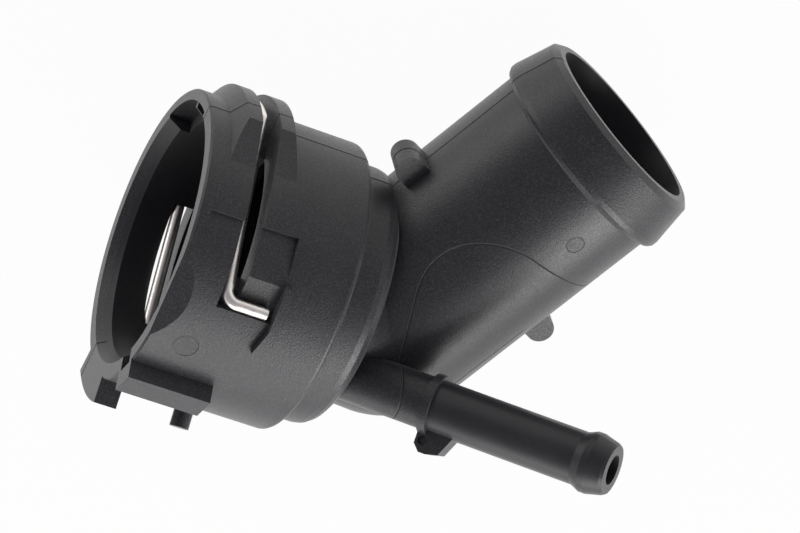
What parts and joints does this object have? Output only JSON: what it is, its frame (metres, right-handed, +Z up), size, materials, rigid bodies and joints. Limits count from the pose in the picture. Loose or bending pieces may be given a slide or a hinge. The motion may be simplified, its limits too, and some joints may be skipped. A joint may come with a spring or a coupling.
{
  "type": "coolant stub pipe",
  "caption": "Moulded coolant connector with a snap-in socket, a wire retaining clip, an angled beaded hose stub and a small hose nipple.",
  "frame": {"origin": "on the surface the part lies on, below the middle of its box", "axes": "+X along the socket's axis away from its mouth, laid level, +Z up, +Y towards the side that the hose stub points to"},
  "size_m": [0.0878, 0.0752, 0.0519],
  "materials": {
    "connector_body": "moulded matt glass-filled nylon",
    "retaining_clip": "bright drawn spring wire",
    "sealing_ring": "smooth rubber"
  },
  "bodies": {
    "root": {"connector_body": "connector_body", "retaining_clip": "retaining_clip", "sealing_ring": "sealing_ring"}
  },
  "joints": []
}
